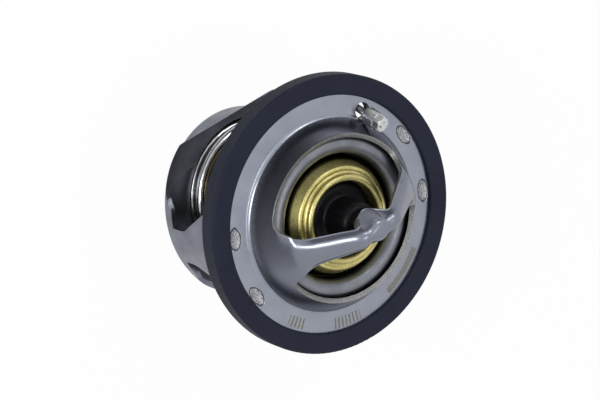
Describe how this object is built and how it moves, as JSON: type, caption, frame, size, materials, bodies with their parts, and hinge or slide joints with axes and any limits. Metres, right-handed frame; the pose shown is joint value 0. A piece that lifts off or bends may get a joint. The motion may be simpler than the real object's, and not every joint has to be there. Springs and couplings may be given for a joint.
{
  "type": "engine thermostat",
  "caption": "Wax-element engine coolant thermostat with a pressed flange and bridge, rubber gasket, brass valve, return spring, stirrup and vent pin.",
  "frame": {"origin": "on the valve axis, in the plane of the flange's front face", "axes": "+Z along the valve axis, out through the bridge; X along the bridge and through the stirrup's two legs"},
  "size_m": [0.06, 0.06, 0.0624],
  "materials": {
    "frame_steel": "pressed stainless steel, satin",
    "seat_steel": "pressed stainless steel, satin",
    "stirrup_steel": "pressed stainless steel, satin",
    "spring_steel": "drawn spring wire, bright",
    "piston_steel": "ground steel",
    "pin_steel": "turned steel",
    "valve_brass": "pressed brass, a little dull",
    "element_brass": "drawn and turned brass",
    "gasket_rubber": "moulded rubber, matt",
    "boot_rubber": "moulded rubber, semi-matt",
    "white_plastic": "plain",
    "fluid": "grease",
    "wax": "wax filled with copper powder"
  },
  "bodies": {
    "frame": {"upper_frame": "frame_steel", "seat_ring": "seat_steel", "gasket": "gasket_rubber", "lower_frame": "stirrup_steel", "main_spring": "spring_steel", "piston": "piston_steel", "backup_disc": "white_plastic", "rubber_plug": "boot_rubber"},
    "valve": {"valve_plate": "valve_brass", "element_guide": "element_brass", "element_case": "element_brass", "piston_boot": "boot_rubber", "transfer_fluid": "fluid", "diaphragm": "boot_rubber", "wax_pellet": "wax"},
    "vent": {"vent_pin": "pin_steel", "vent_pin_barrel": "pin_steel"}
  },
  "joints": [
    {"name": "valve_open", "type": "slide", "parent": "frame", "child": "valve", "axis": [0, 0, -1], "range_m": [0, 0.008], "stiffness_N_per_m": 5000, "springref_m": -0.012, "deforming": ["main_spring"]},
    {"name": "vent_lift", "type": "slide", "parent": "frame", "child": "vent", "axis": [-0.061, 0.4341, 0.8988], "range_m": [0, 0.001]}
  ]
}
